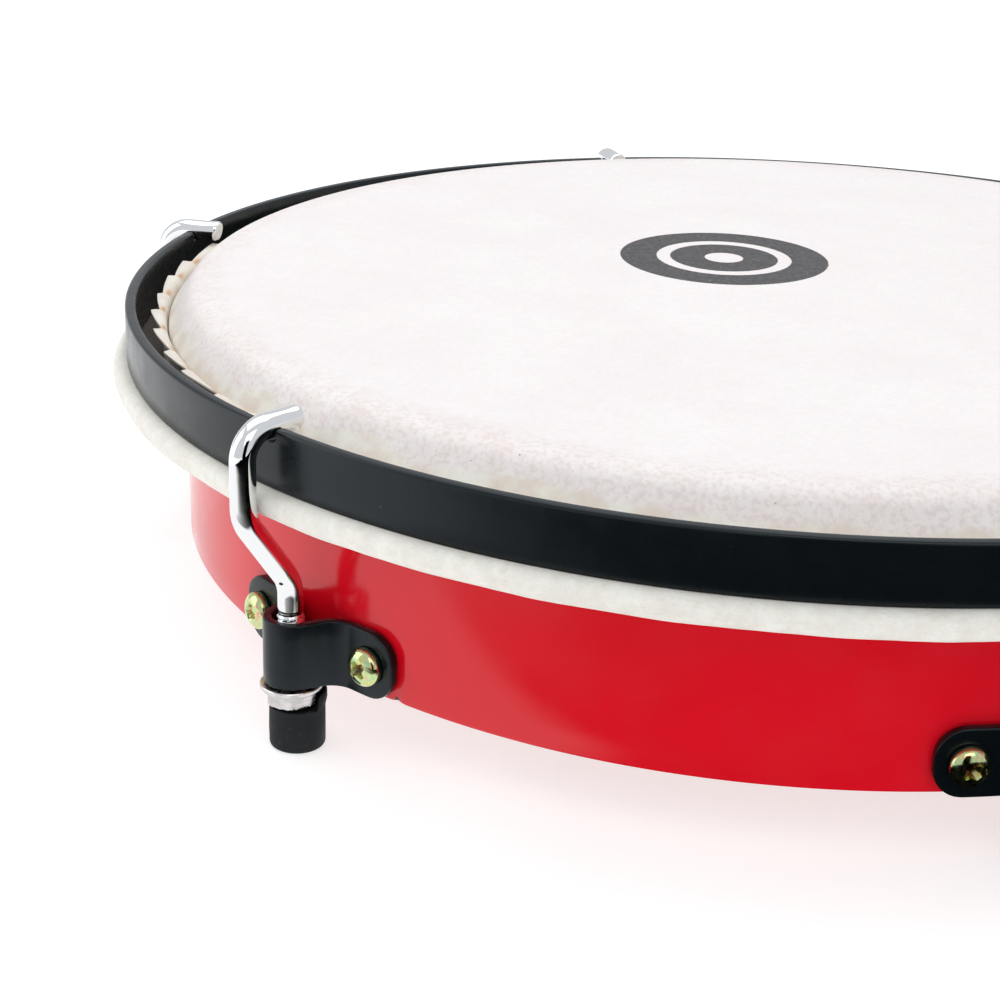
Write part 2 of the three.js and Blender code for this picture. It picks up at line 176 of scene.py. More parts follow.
def polar(radius, angle, height):
    return (radius * math.cos(angle), radius * math.sin(angle), height)


def circle(radius, height, sides, warp=None):
    """A row of points round +Z; warp gives each one's own radius and height."""
    row = []
    for j in range(sides):
        angle = TAU * j / sides
        r, z = warp(angle, radius, height) if warp else (radius, height)
        row.append(polar(r, angle, z))
    return row


def turned(outline, sides):
    """A turned solid about +Z; the outline runs from axis to axis and leaves both axis points out."""
    rows = [circle(radius, height, sides) for radius, height in outline]
    return grid(rows, cap_first=True, cap_last=True)


def ring(outline, sides, warp=None):
    """A closed ring about the drum's axis from a closed (radius, height) outline."""
    rows = []
    for i in range(sides):
        angle = TAU * i / sides
        warped = [warp(angle, *point) for point in outline] if warp else outline
        rows.append([polar(radius, angle, height) for radius, height in warped])
    return grid(rows, closed_rows=True)


def section(inner, outer, bottom, top, corners, rising=(), falling=()):
    """A ring's outline from its inner foot: four (radius, steps) corners, and heights as shares."""
    centres = ((inner, bottom, 1, 1), (outer, bottom, -1, 1), (outer, top, -1, -1), (inner, top, 1, -1))
    outline = []
    for k, ((x, y, right, up), (soft, steps)) in enumerate(zip(centres, corners)):
        start = (180 + 90 * k) % 360
        outline += arc(x + right * soft, y + up * soft, soft, start, start + 90, steps)
        if k == 1:
            outline += [(outer, bottom + (top - bottom) * share) for share in rising]
    return outline + [(inner, bottom + (top - bottom) * share) for share in falling]


def along_curve(line, steps=6):
    """The line rounded through its points, by Catmull-Rom pieces."""
    padded = [line[0], *line, line[-1]]
    curve = []
    for a, b, c, d in zip(padded, padded[1:], padded[2:], padded[3:]):
        for i in range(steps):
            t = i / steps
            curve.append(tuple(0.5 * (2 * q + (r - p) * t + (2 * p - 5 * q + 4 * r - u) * t * t
                               + (3 * q - p - 3 * r + u) * t ** 3) for p, q, r, u in zip(a, b, c, d)))
    return curve + [line[-1]]


def boolean_cut(obj, cutter):
    """Cuts one object from another and drops the cutter."""
    modifier = obj.modifiers.new("cut", "BOOLEAN")
    modifier.operation = "DIFFERENCE"
    modifier.solver = "EXACT"
    modifier.object = cutter
    graph = bpy.context.evaluated_depsgraph_get()
    mesh = bpy.data.meshes.new_from_object(obj.evaluated_get(graph))
    obj.modifiers.clear()
    obj.data = mesh
    mesh.shade_smooth()
    mesh.set_sharp_from_angle(angle=SHARP_ANGLE)
    bpy.data.objects.remove(cutter)
    return obj


def joined(name, parts):
    """One object from several (points, faces, place) parts that stand apart."""
    all_points, all_faces = [], []
    for points, faces, place in parts:
        start = len(all_points)
        all_points += [tuple(place @ Vector(p)) for p in points]
        all_faces += [tuple(start + i for i in face) for face in faces]
    return mesh_object(name, all_points, all_faces)


def copy_to(template, name, place):
    """A copy of a template whose own mesh is moved to its place, in millimetres."""
    mesh = template.data.copy()
    matrix = place.copy()
    matrix.translation *= MM
    mesh.transform(matrix)
    mesh.name = name
    obj = bpy.data.objects.new(name, mesh)
    bpy.context.scene.collection.objects.link(obj)
    return obj


def add_attribute(obj, name, values):
    made = obj.data.attributes.new(name, "FLOAT", "POINT")
    made.data.foreach_set("value", np.array(values, np.float32))


def attach(obj, body, node):
    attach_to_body(obj, body)
    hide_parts(node)


def soft_noise(x, y, z, size):
    """Smooth noise between about -1 and 1 that varies over the given size."""
    return noise.noise(Vector((x / size, y / size, z / size)))


def lug_place(lug):
    return Matrix.Rotation(TAU * lug / LUGS, 4, "Z")


def rod_place(lug):
    return lug_place(lug) @ Matrix.Translation((ROD_AXIS, 0, 0))


def screw_place(lug, side, distance, spin=0.0):
    """Turns +Z outwards along the radius, at the given distance from the drum's axis."""
    turn = Matrix.Rotation(TAU * lug / LUGS + BRACKET_TURN + side * SCREW_ANGLE, 4, "Z")
    out = Matrix.Translation((distance, 0, SCREW_HEIGHT))
    aim = Matrix.Rotation(math.pi / 2, 4, "Y") @ Matrix.Rotation(spin, 4, "Z")
    return turn @ out @ aim


# ---------------------------------------------------------------- material helpers


class Finish:
    """A principled material and short ways to add nodes to it."""

    def __init__(self, name):
        self.material = bpy.data.materials.new(name)
        self.material.use_nodes = True
        self.tree = self.material.node_tree
        self.shader = self.tree.nodes["Principled BSDF"]
        self.place = self.node("ShaderNodeTexCoord").outputs["Object"]

    def node(self, kind, inputs=None, **settings):
        made = self.tree.nodes.new(kind)
        for key, value in settings.items():
            setattr(made, key, value)
        for key, value in (inputs or {}).items():
            self.put(made.inputs[key], value)
        return made

    def put(self, socket, value):
        if isinstance(value, bpy.types.NodeSocket):
            self.tree.links.new(value, socket)
        else:
            socket.default_value = value

    def set(self, **sockets):
        for name, value in sockets.items():
            self.put(self.shader.inputs[name.replace("_", " ")], value)

    def stretched(self, x, y, z):
        """Object coordinates in millimetres over a feature size along each axis."""
        scale = (1 / (x * MM), 1 / (y * MM), 1 / (z * MM))
        made = self.node("ShaderNodeVectorMath", {0: self.place, 1: scale}, operation="MULTIPLY")
        return made.outputs[0]

    def noise(self, size, detail=3.0, roughness=0.55, vector=None, distortion=0.0):
        """Noise from 0 to 1 whose features are about `size` millimetres."""
        inputs = {"Vector": vector or self.stretched(size, size, size), "Scale": 1.0, "Detail": detail,
                  "Roughness": roughness, "Distortion": distortion}
        return self.node("ShaderNodeTexNoise", inputs).outputs["Fac"]

    def cells(self, size):
        """Distance to the nearest cell centre, for specks and pores."""
        inputs = {"Vector": self.stretched(size, size, size), "Scale": 1.0}
        return self.node("ShaderNodeTexVoronoi", inputs).outputs["Distance"]

    def specks(self, size, dot, patch_size, patch, detail=3.0):
        """Small dots gathered in patches; dot and patch give the (low, high) of a remap."""
        dots = self.remap(self.cells(size), *dot)
        return self.mul(dots, self.remap(self.noise(patch_size, detail), *patch))

    def math(self, operation, a, b=0.0, clamp=False):
        made = self.node("ShaderNodeMath", {0: a, 1: b}, operation=operation, use_clamp=clamp)
        return made.outputs[0]

    def mul(self, a, b):
        return self.math("MULTIPLY", a, b)

    def add(self, a, b):
        return self.math("ADD", a, b)

    def remap(self, value, low, high, to_low=0.0, to_high=1.0):
        made = self.node("ShaderNodeMapRange", {
            "Value": value, "From Min": low, "From Max": high, "To Min": to_low, "To Max": to_high},
            interpolation_type="SMOOTHSTEP")
        return made.outputs["Result"]

    def mix(self, factor, a, b):
        made = self.node("ShaderNodeMix", data_type="RGBA")
        colours = [s for s in made.inputs if s.type == "RGBA"]
        self.put(made.inputs[0], factor)
        self.put(colours[0], a)
        self.put(colours[1], b)
        return [s for s in made.outputs if s.type == "RGBA"][0]

    def bump(self, height, depth, strength=1.0, normal=None):
        """A bump of the given depth in millimetres."""
        inputs = {"Height": height, "Distance": depth * MM, "Strength": strength}
        if normal is not None:
            inputs["Normal"] = normal
        return self.node("ShaderNodeBump", inputs).outputs["Normal"]

    def attribute(self, name):
        return self.node("ShaderNodeAttribute", attribute_name=name).outputs["Fac"]

    def axis_distance(self):
        """Distance from the drum's axis and height, in millimetres."""
        x, y, z = self.node("ShaderNodeSeparateXYZ", {0: self.place}).outputs
        squares = self.add(self.mul(x, x), self.mul(y, y))
        radius = self.math("DIVIDE", self.math("SQRT", squares), MM)
        return radius, self.math("DIVIDE", z, MM)


def spot(f, place, size):
    """1 inside a soft-edged spot of the given place and half sizes, in millimetres."""
    offset = f.node("ShaderNodeVectorMath", {0: f.place, 1: tuple(-v * MM for v in place)}, operation="ADD")
    scale = tuple(1 / (v * MM) for v in size)
    scaled = f.node("ShaderNodeVectorMath", {0: offset.outputs[0], 1: scale}, operation="MULTIPLY")
    length = f.node("ShaderNodeVectorMath", {0: scaled.outputs[0]}, operation="LENGTH").outputs["Value"]
    return f.remap(length, 1.0, 0.7)


def red_shell_finish():
    f = Finish("red_shell")
    cloud = f.noise(60, detail=2)
    base = f.mix(f.remap(cloud, 0.3, 0.7), (0.64, 0.0030, 0.011, 1), (0.70, 0.0045, 0.016, 1))
    dust = f.specks(5.0, (0.035, 0.02), 30, (0.55, 0.7))
    base = f.mix(f.mul(dust, 0.5), base, (0.8, 0.55, 0.5, 1))
    # Painted shade: a near-black spot at the knock on the lower edge, where shade falls inside the nick.
    nick_shade_place = polar(SHELL_RADIUS, NICK_ANGLE, shell_low.z)
    base = f.mix(spot(f, nick_shade_place, (0.9, 0.9, 1.7)), base, (0.012, 0.006, 0.007, 1))
    rough = f.add(f.remap(f.noise(14, detail=4), 0.3, 0.75, 0.09, 0.17), f.mul(dust, 0.4))
    scratch = f.noise(0.5, detail=2, vector=f.stretched(9, 9, 0.25))
    normal = f.bump(f.noise(3.2, detail=1), 0.012, 0.5)
    normal = f.bump(f.remap(scratch, 0.62, 0.75), 0.004, 0.3, normal)
    f.set(Base_Color=base, Roughness=rough, Normal=normal, IOR=1.5)
    return f.material


def black_steel_finish(name, grain, gloss, index):
    f = Finish(name)
    cloud = f.noise(25)
    base = f.mix(cloud, (0.0020, 0.0038, 0.0052, 1), (0.0036, 0.0060, 0.0080, 1))
    specks = f.specks(6.5, (0.045, 0.022), 22, (0.52, 0.62))
    lint = f.specks(1.9, (0.06, 0.03), 9, (0.62, 0.74), 2)
    dust = f.math("MAXIMUM", specks, f.mul(lint, 0.6))
    base = f.mix(f.mul(dust, 0.6), base, (0.30, 0.32, 0.33, 1))
    rough = f.add(f.remap(f.noise(7), 0.3, 0.7, gloss, gloss + 0.07), f.mul(dust, 0.4))
    normal = f.bump(f.noise(grain), 0.014, 0.35)
    f.set(Base_Color=base, Roughness=rough, Normal=normal, IOR=index, Specular_Tint=(0.86, 0.95, 1.0, 1))
    return f.material


def chrome_finish():
    f = Finish("chrome")
    pits = f.specks(1.6, (0.09, 0.05), 5, (0.70, 0.80))
    base = f.mix(f.mul(pits, 0.5), (0.87, 0.875, 0.885, 1), (0.4, 0.4, 0.41, 1))
    rough = f.remap(f.noise(4, detail=4), 0.35, 0.75, 0.035, 0.12)
    normal = f.bump(f.noise(2.4, detail=2), 0.02, 0.3)
    normal = f.bump(f.noise(0.35, detail=2), 0.003, 0.3, normal)
    f.set(Base_Color=base, Roughness=rough, Normal=normal, Metallic=1.0)
    return f.material


def nickel_finish():
    f = Finish("nickel")
    cloud = f.noise(2.2, detail=4)
    base = f.mix(f.remap(cloud, 0.35, 0.7), (0.73, 0.71, 0.705, 1), (0.56, 0.54, 0.53, 1))
    marks = f.noise(1, detail=2, vector=f.stretched(1.6, 1.6, 0.18))
    rough = f.remap(marks, 0.3, 0.7, 0.2, 0.38)
    normal = f.bump(marks, 0.012, 0.5)
    f.set(Base_Color=base, Roughness=rough, Normal=normal, Metallic=1.0)
    return f.material


def yellow_zinc_finish():
    f = Finish("yellow_zinc")
    film = f.noise(1.5, detail=2, distortion=0.8)
    ramp = f.node("ShaderNodeValToRGB", {"Fac": film})
    bands = [
        (0.30, (0.62, 0.50, 0.16, 1)), (0.42, (0.70, 0.72, 0.30, 1)), (0.50, (0.42, 0.66, 0.40, 1)),
        (0.58, (0.78, 0.70, 0.30, 1)), (0.68, (0.74, 0.40, 0.36, 1)), (0.80, (0.60, 0.46, 0.14, 1))]
    stops = ramp.color_ramp.elements
    for place, colour in bands[:-1]:
        stops.new(place).color = colour
    stops[0].color = bands[0][1]
    stops[-1].position, stops[-1].color = bands[-1]
    # Painted shade: the cross recess is darkened towards brown, where shade falls inside it.
    base = f.mix(f.mul(f.attribute("recess"), 0.75), ramp.outputs["Color"], (0.33, 0.13, 0.06, 1))
    rough = f.remap(f.noise(0.9), 0.3, 0.7, 0.09, 0.20)
    normal = f.bump(f.noise(0.7, detail=2), 0.02, 0.35)
    f.set(Base_Color=base, Roughness=rough, Normal=normal, Metallic=1.0)
    return f.material


def rubber_finish():
    f = Finish("rubber")
    cloud = f.noise(4.5, detail=4)
    base = f.mix(f.remap(cloud, 0.35, 0.7), (0.0055, 0.0070, 0.0080, 1), (0.013, 0.016, 0.018, 1))
    scuff = f.remap(f.noise(1.8, detail=5, roughness=0.65), 0.58, 0.75)
    base = f.mix(f.mul(scuff, 0.26), base, (0.13, 0.145, 0.145, 1))
    rough = f.remap(cloud, 0.3, 0.7, 0.55, 0.75)
    normal = f.bump(f.noise(0.6, detail=4), 0.03, 0.5)
    normal = f.bump(scuff, 0.03, 0.3, normal)
    f.set(Base_Color=base, Roughness=rough, Normal=normal, IOR=1.5, Specular_IOR_Level=0.22)
    return f.material


def wood_finish():
    f = Finish("hoop_wood")
    plies = f.noise(1, detail=2, vector=f.stretched(40, 40, 0.7))
    pores = f.noise(1, detail=3, vector=f.stretched(6, 6, 0.3))
    base = f.mix(plies, (0.52, 0.34, 0.17, 1), (0.66, 0.47, 0.27, 1))
    base = f.mix(f.remap(pores, 0.6, 0.75, 0, 0.5), base, (0.30, 0.17, 0.08, 1))
    f.set(Base_Color=base, Roughness=0.7, Normal=f.bump(pores, 0.05, 0.5))
    return f.material


BADGE_PLACE = (-20.6, 13.1)
BADGE_RADIUS = 27.0
BADGE_RING = (14.0, 17.5)
BADGE_DOT = 5.0


def badge_mask(f):
    """1 where the round print is: a dark disc with a plain pale ring and dot left open in it."""
    x0, y0 = BADGE_PLACE
    offset = f.node("ShaderNodeVectorMath", {0: f.place, 1: (-x0 * MM, -y0 * MM, 0)}, operation="ADD")
    x, y, z = f.node("ShaderNodeSeparateXYZ", {0: offset.outputs[0]}).outputs
    squares = f.add(f.mul(x, x), f.mul(y, y))
    distance = f.math("DIVIDE", f.math("SQRT", squares), MM)
    ragged = f.mul(f.math("SUBTRACT", f.noise(0.5, detail=2), 0.5), 0.5)
    distance = f.add(distance, ragged)
    edge = 0.12
    disc = f.remap(distance, BADGE_RADIUS + edge, BADGE_RADIUS - edge)
    inner, outer = BADGE_RING
    ring_in = f.remap(distance, inner - edge, inner + edge)
    ring_out = f.remap(distance, outer + edge, outer - edge)
    dot = f.remap(distance, BADGE_DOT + edge, BADGE_DOT - edge)
    open_print = f.math("MAXIMUM", f.mul(ring_in, ring_out), dot)
    upper = f.remap(z, (HEAD_TOP - 1) * MM, (HEAD_TOP - 0.6) * MM)
    return f.mul(f.mul(disc, f.math("SUBTRACT", 1.0, open_print)), upper)


def skin_finish():
    f = Finish("skin")
    radius, height = f.axis_distance()
    wrapped = f.attribute("wrapped")

    # Grain side: pale, with pinkish brown pores and clouds that gather towards the shoulder.
    cloud = f.noise(38)
    mottle = f.noise(7, detail=4, roughness=0.6)
    pores = f.noise(1.15, detail=2, roughness=0.6)
    wander = f.mul(f.math("SUBTRACT", f.noise(24, detail=2), 0.5), 9.0)
    rim = f.remap(f.add(radius, wander), 138, 150)
    base = f.mix(f.remap(cloud, 0.3, 0.7), (0.86, 0.805, 0.80, 1), (0.885, 0.845, 0.835, 1))
    amount = f.mul(f.remap(mottle, 0.3, 0.75), f.add(0.08, f.mul(rim, 0.22)))
    amount = f.add(amount, f.mul(rim, 0.10))
    base = f.mix(amount, base, (0.72, 0.61, 0.57, 1))
    pore_amount = f.add(0.08, f.mul(rim, 0.24))
    base = f.mix(f.mul(f.remap(pores, 0.42, 0.66), pore_amount), base, (0.60, 0.48, 0.44, 1))
    hair = f.mul(f.remap(f.cells(4.6), 0.055, 0.03), f.mul(rim, 0.7))
    base = f.mix(hair, base, (0.20, 0.15, 0.13, 1))

    # Below the shoulder the skin is thinner and shows cream, with an uneven upper limit.
    ragged = f.add(height, f.mul(f.math("SUBTRACT", f.noise(16), 0.5), 9.0))
    low = f.remap(ragged, HEAD_TOP - 4.6, HEAD_TOP - 6.4)
    cream = f.mix(f.remap(f.noise(6), 0.35, 0.65), (0.74, 0.66, 0.57, 1), (0.83, 0.82, 0.74, 1))
    base = f.mix(f.mul(low, 0.8), base, cream)

    # Flesh side, wrapped outwards: greyish cream, felted fibres, a few stains.
    fibre = f.noise(1, detail=4, roughness=0.7, vector=f.stretched(1.1, 1.1, 0.42), distortion=0.6)
    felt = f.noise(3.4, detail=4, roughness=0.65)
    flesh = f.mix(f.remap(felt, 0.3, 0.7), (0.76, 0.745, 0.675, 1), (0.87, 0.855, 0.795, 1))
    flesh = f.mix(f.remap(fibre, 0.5, 0.78, 0.0, 0.34), flesh, (0.44, 0.42, 0.36, 1))
    stain_and_fold_shade = f.remap(f.noise(11), 0.70, 0.82, 0.0, 0.4)
    flesh = f.mix(stain_and_fold_shade, flesh, (0.42, 0.32, 0.20, 1))
    base = f.mix(wrapped, base, flesh)
    # Painted shade: orange-brown in the folds between the flap's teeth, read from a point attribute on the
    # flap.
    base = f.mix(f.mul(f.attribute("stain_and_fold_shade"), 0.95), base, (0.58, 0.29, 0.12, 1))

    # Painted shade on the wrap's top: brown-black in the channel between the flap and the counterhoop,
    # where shade falls.
    channel_shade = f.mul(f.remap(radius, 156.6, 157.8), f.remap(radius, 166.2, 165.6))
    channel_shade = f.mul(channel_shade, f.remap(height, WRAP_TOP - 1.6, WRAP_TOP - 0.8))
    channel_shade = f.mul(channel_shade, f.remap(height, WRAP_TOP + 3.0, WRAP_TOP + 1.4))
    base = f.mix(f.mul(channel_shade, 0.9), base, (0.05, 0.033, 0.026, 1))

    worn = f.remap(f.noise(0.8), 0.62, 0.8, 0.96, 0.55)
    base = f.mix(f.mul(badge_mask(f), worn), base, (0.022, 0.020, 0.024, 1))

    rough = f.add(f.remap(pores, 0.3, 0.7, 0.42, 0.6), f.mul(wrapped, 0.35))
    normal = f.bump(pores, 0.03, 0.25)
    normal = f.bump(mottle, 0.06, 0.2, normal)
    normal = f.bump(f.mul(fibre, wrapped), 0.16, 0.9, normal)
    f.set(Base_Color=base, Roughness=rough, Normal=normal, IOR=1.45, Subsurface_Weight=0.12,
          Subsurface_Radius=(1.0, 0.6, 0.4), Subsurface_Scale=0.0012)
    return f.material


# ---------------------------------------------------------------- shell, hoops and skin


def shell_body():
    """Moulded ring with a rounded bearing edge, softened lower corners and one knock on the lower edge."""
    inner = SHELL_RADIUS - SHELL_WALL
    bottom, top = shell_low.z, shell_high.z
    bearing = SHOULDER_RADIUS - SKIN - GAP
    corners = [(0.7, 5), (0.7, 5), (bearing, 10), (0.6, 4)]
    outline = section(inner, SHELL_RADIUS, bottom, top, corners, (0.1, 0.25, 0.5, 0.75), (0.7, 0.35))

    def knock(angle, radius, height):
        arc_away = (angle - NICK_ANGLE) * SHELL_RADIUS
        near = math.exp(-(arc_away / 0.9) ** 2) * math.exp(-((height - bottom) / 1.3) ** 2)
        outside = radius > SHELL_RADIUS - 2
        return radius - (0.35 * near if outside else 0), height + (0.3 * near if outside else 0)

    points, faces = ring(outline, 960, knock)
    obj = mesh_object("shell_body", points, faces)
    hole = turned([(2.45, -12), (2.45, 6)], 24)
    screws = [(lug, side) for lug in range(LUGS) for side in (-1, 1)]
    parts = [(*hole, screw_place(lug, side, SHELL_RADIUS)) for lug, side in screws]
    obj = boolean_cut(obj, joined("screw_holes", parts))
    obj.data.materials.append(red_shell)
    attach(obj, "drum", "shell")


def hoop_ring():
    """Flat steel ring on edge, slightly uneven, with soft top edges and six hook notches."""
    inner = HOOP_RADIUS - HOOP_WALL
    corners = [(0.35, 3), (0.35, 3), (0.8, 7), (0.8, 7)]
    outline = section(inner, HOOP_RADIUS, HOOP_BOTTOM, HOOP_TOP, corners, (0.35, 0.65), (0.65, 0.35))

    def uneven(angle, radius, height):
        c, s = math.cos(angle), math.sin(angle)
        return radius + 0.12 * soft_noise(c, s, 3.1, 0.35) - 0.12, height

    points, faces = ring(outline, 480, uneven)
    obj = mesh_object("hoop_ring", points, faces)
    notch = notch_block(HOOP_RADIUS - HOOP_WALL / 2 - ROD_AXIS)
    parts = [(*notch, rod_place(lug) @ Matrix.Rotation(HOOK_TWIST, 4, "Z")) for lug in range(LUGS)]
    obj = boolean_cut(obj, joined("notches", parts))
    obj.data.materials.append(hoop_black)
    attach(obj, "tension_hoop", "counterhoop")


def notch_block(middle):
    """A block with rounded lower corners that is as wide as a notch, in the hook's own frame."""
    half, soft = NOTCH_WIDTH / 2, 1.2
    foot = HOOP_TOP - NOTCH_DEPTH
    outline = arc(-half + soft, foot + soft, soft, 180, 270, 6)
    outline += arc(half - soft, foot + soft, soft, 270, 360, 6)
    outline += [(half, HOOP_TOP + 2), (-half, HOOP_TOP + 2)]
    rows = [[(middle + side * 4, y, z) for y, z in outline] for side in (-1, 1)]
    return grid(rows, cap_first=True, cap_last=True)


def flesh_hoop_core():
    """The wooden hoop inside the wrapped skin."""
    inner = WRAP_INNER + SKIN + GAP
    points, faces = ring(section(inner, flesh_high.x, flesh_low.z, flesh_high.z, [(1.5, 4)] * 4), 240)
    obj = mesh_object("flesh_hoop_core", points, faces)
    obj.data.materials.append(wood)
    attach(obj, "tension_hoop", "flesh_hoop")


# The skin leans out from the shoulder, then turns down and in to the flesh hoop.
COLLAR = [(153.6, 70.3), (155.0, 68.3), (155.7, 66.8), (155.5, 65.0), (154.9, 62.8),
          (154.6, WRAP_TOP - 1.2)]
HEAD_RINGS = [0.5, 8, 20, 34, 48, 62, 76, 90, 102, 114, 124, 132, 138, 142]
SEAM_RADIUS = 165.0
SKIN_SIDES = 480
SHOULDER_FOOT = HEAD_TOP - SHOULDER_RADIUS


def offset_line(line, distance):
    """The line moved sideways, to the left of its direction."""
    moved = []
    for (x, y), (ax, ay), (bx, by) in zip(line, [line[0], *line], [*line[1:], line[-1]]):
        length = math.hypot(bx - ax, by - ay)
        moved.append((x - (by - ay) / length * distance, y + (bx - ax) / length * distance))
    return moved


def head_skin_line():
    """Middle of the skin's thickness: head, collar, round the flesh hoop, to under the counterhoop."""
    half = SKIN / 2
    centre = SKIRT_RADIUS - SHOULDER_RADIUS
    line = [(radius, HEAD_TOP - half) for radius in HEAD_RINGS]
    line += arc(centre, SHOULDER_FOOT, SHOULDER_RADIUS - half, 90, 32, 10)
    line += along_curve([line[-1], *COLLAR])[1:]
    corner = 2.6
    inner, outer = WRAP_INNER + half, WRAP_RADIUS - half
    line += arc(inner + corner, WRAP_BOTTOM + half + corner, corner, 180, 270, 8)
    line += [(inner + (outer - inner) * t, WRAP_BOTTOM + half) for t in (0.35, 0.5, 0.65)]
    side = 2.35
    line += arc(outer - side, WRAP_BOTTOM + half + side, side, 270, 360, 9)
    line += arc(outer - side, WRAP_TOP - half - side, side, 0, 90, 9)
    line += [(outer - side - 0.8, WRAP_TOP - half), (SEAM_RADIUS, WRAP_TOP - half)]
    return line


def natural(angle, radius, height):
    """Where the skin really lies: nearly ideal on the head, uneven where it is wrapped."""
    c, s = math.cos(angle), math.sin(angle)
    x, y = radius * c, radius * s
    wrapped = min(max((SHOULDER_FOOT - height) / 6, 0), 1)
    outside = wrapped * min(max((radius - 160) / 6, 0), 1)
    lift = 0.10 * (1 - wrapped) * soft_noise(x, y, 0, 45)
    swell = outside * (0.32 * soft_noise(x, y, height, 13) + 0.14 * soft_noise(x, y, height, 4))
    droop = outside * 0.28 * soft_noise(x, y, 7.7, 21) * (1 if height < WRAP_BOTTOM + 3 else 0)
    return radius + swell - 0.12 * outside, height + lift + droop


def head_skin():
    """One skin with real thickness, from the head's centre to the fold under the counterhoop."""
    line = head_skin_line()
    upper = offset_line(line, SKIN / 2)
    lower = offset_line(line, -SKIN / 2)
    outline = upper + lower[::-1]
    rows = [circle(radius, height, SKIN_SIDES, natural) for radius, height in outline]
    points, faces = grid(rows, cap_first=True, cap_last=True)
    faces = [tuple(reversed(face)) for face in faces]
    obj = mesh_object("drum_skin", points, faces)
    wrapped = []
    for i, (radius, height) in enumerate(outline):
        low = min(max((WRAP_TOP + 2 - height) / 3.5, 0), 1)
        wrapped += [low if i < len(line) else 0.75] * SKIN_SIDES
    add_attribute(obj, "wrapped", wrapped)
    obj.data.materials.append(skin_material)
    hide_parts("drumhead_skin")
    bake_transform(obj)


TEETH = 58
# The flap's middle line above the tuck: up beside the collar, then curling outwards to its tips.
FLAP_LINE = [(156.45, 65.0), (156.8, 66.8), (156.95, 68.0), (157.4, 68.85), (158.3, 69.3), (159.3, 69.45),
             (160.3, 69.45)]
# Along one tooth, from its tip round to the next: how far along, and how much of the tooth is left.
TOOTH = [(0.0, 1.0), (0.05, 0.98), (0.12, 0.92), (0.22, 0.82), (0.34, 0.70), (0.46, 0.56), (0.58, 0.42),
         (0.70, 0.27), (0.80, 0.13), (0.87, 0.03), (0.915, 0.0), (0.95, 0.30), (0.975, 0.80)]
FLAP_LEVELS = [0.1, 0.2, 0.3, 0.4, 0.5, 0.6, 0.7, 0.8, 0.88, 0.94, 1.0]


def tooth_columns():
    """Columns round the flap as (angle, share of the flap's line left, fold, place along the tooth)."""
    rand = random.Random(12)
    starts = [0.0]
    for _ in range(TEETH):
        starts.append(starts[-1] + rand.uniform(0.8, 1.2))
    starts = [TAU * s / starts[-1] for s in starts]
    columns = []
    for tooth in range(TEETH):
        begin, span = starts[tooth], starts[tooth + 1] - starts[tooth]
        valley = rand.uniform(0.64, 0.78)
        reach = rand.uniform(0.92, 1.0)
        fold = rand.uniform(0.1, 0.5)
        for along, left in TOOTH:
            share = valley + (reach - valley) * left
            columns.append((begin + along * span, share, fold * (0.45 - along), along))
    return columns


def along_line(line, share):
    """Place and heading at a share of a line's length."""
    lengths = [math.dist(a, b) for a, b in zip(line, line[1:])]
    left = share * sum(lengths)
    for (ax, ay), (bx, by), length in zip(line, line[1:], lengths):
        if left <= length or (bx, by) == line[-1]:
            t = min(left / length, 1)
            return ax + (bx - ax) * t, ay + (by - ay) * t, math.atan2(by - ay, bx - ax)
        left -= length


def skin_flap():
    """The skin's free edge: under the counterhoop, up beside the head, and cut into saw teeth."""
    columns = tooth_columns()
    seam = WRAP_TOP - SKIN / 2
    tuck = [(SEAM_RADIUS, seam), (161.5, seam), (158.6, seam + 0.05), (157.2, seam + 0.5),
            (156.4, seam + 1.5), (156.2, seam + 3.0), FLAP_LINE[0]]
    smooth = along_curve(FLAP_LINE)
    sides = {0.5: ([], []), -0.5: ([], [])}
    for side, (rows, fold_shades) in sides.items():
        for radius, height in offset_line(tuck, side * SKIN):
            rows.append([polar(radius, angle, height) for angle, *_ in columns])
            fold_shades += [0.0] * len(columns)
        for level in FLAP_LEVELS:
            row = []
            for angle, length, fold, along in columns:
                share = level * length
                radius, height, heading = along_line(smooth, share)
                wave = 0.16 * soft_noise(radius * angle, height, 1.3, 4) * share
                thin = SKIN * (1 - 0.45 * level)
                away = side * thin + (fold + wave) * share ** 2 - 0.25 * share ** 2
                radius -= away * math.sin(heading)
                row.append(polar(radius, angle, height + away * math.cos(heading)))
                # Painted shade for the fold in each tooth's valley, stored per point, over a faint orange
                # tint on the rest of the flap.
                near = math.exp(-((along - 0.86) / 0.15) ** 2)
                fold_shades.append(0.08 + 0.92 * near * math.exp(-((share - 0.58) / 0.10) ** 2))
            rows.append(row)
    rows_in, fold_shades_in = sides[0.5]
    rows_out, fold_shades_out = sides[-0.5]
    width = len(columns)
    starts = range(len(fold_shades_out) - width, -1, -width)
    back = [stain_and_fold_shade for start in starts for stain_and_fold_shade in fold_shades_out[start:start + width]]
    points, faces = grid(rows_in + rows_out[::-1], closed_rows=True)
    obj = mesh_object("skin_flap", points, faces)
    add_attribute(obj, "wrapped", [0.4] * len(points))
    add_attribute(obj, "stain_and_fold_shade", fold_shades_in + back)
    obj.data.materials.append(skin_material)
    attach(obj, "tension_hoop", "skin_wrap")


# ---------------------------------------------------------------- tension hardware


THREAD_TOP = STRAP_TOP + 1.0
THREAD_ROWS_PER_TURN = 8
THREAD_MAJOR = 2.98
THREAD_MINOR = 2.42
ROD_SIDES = 32


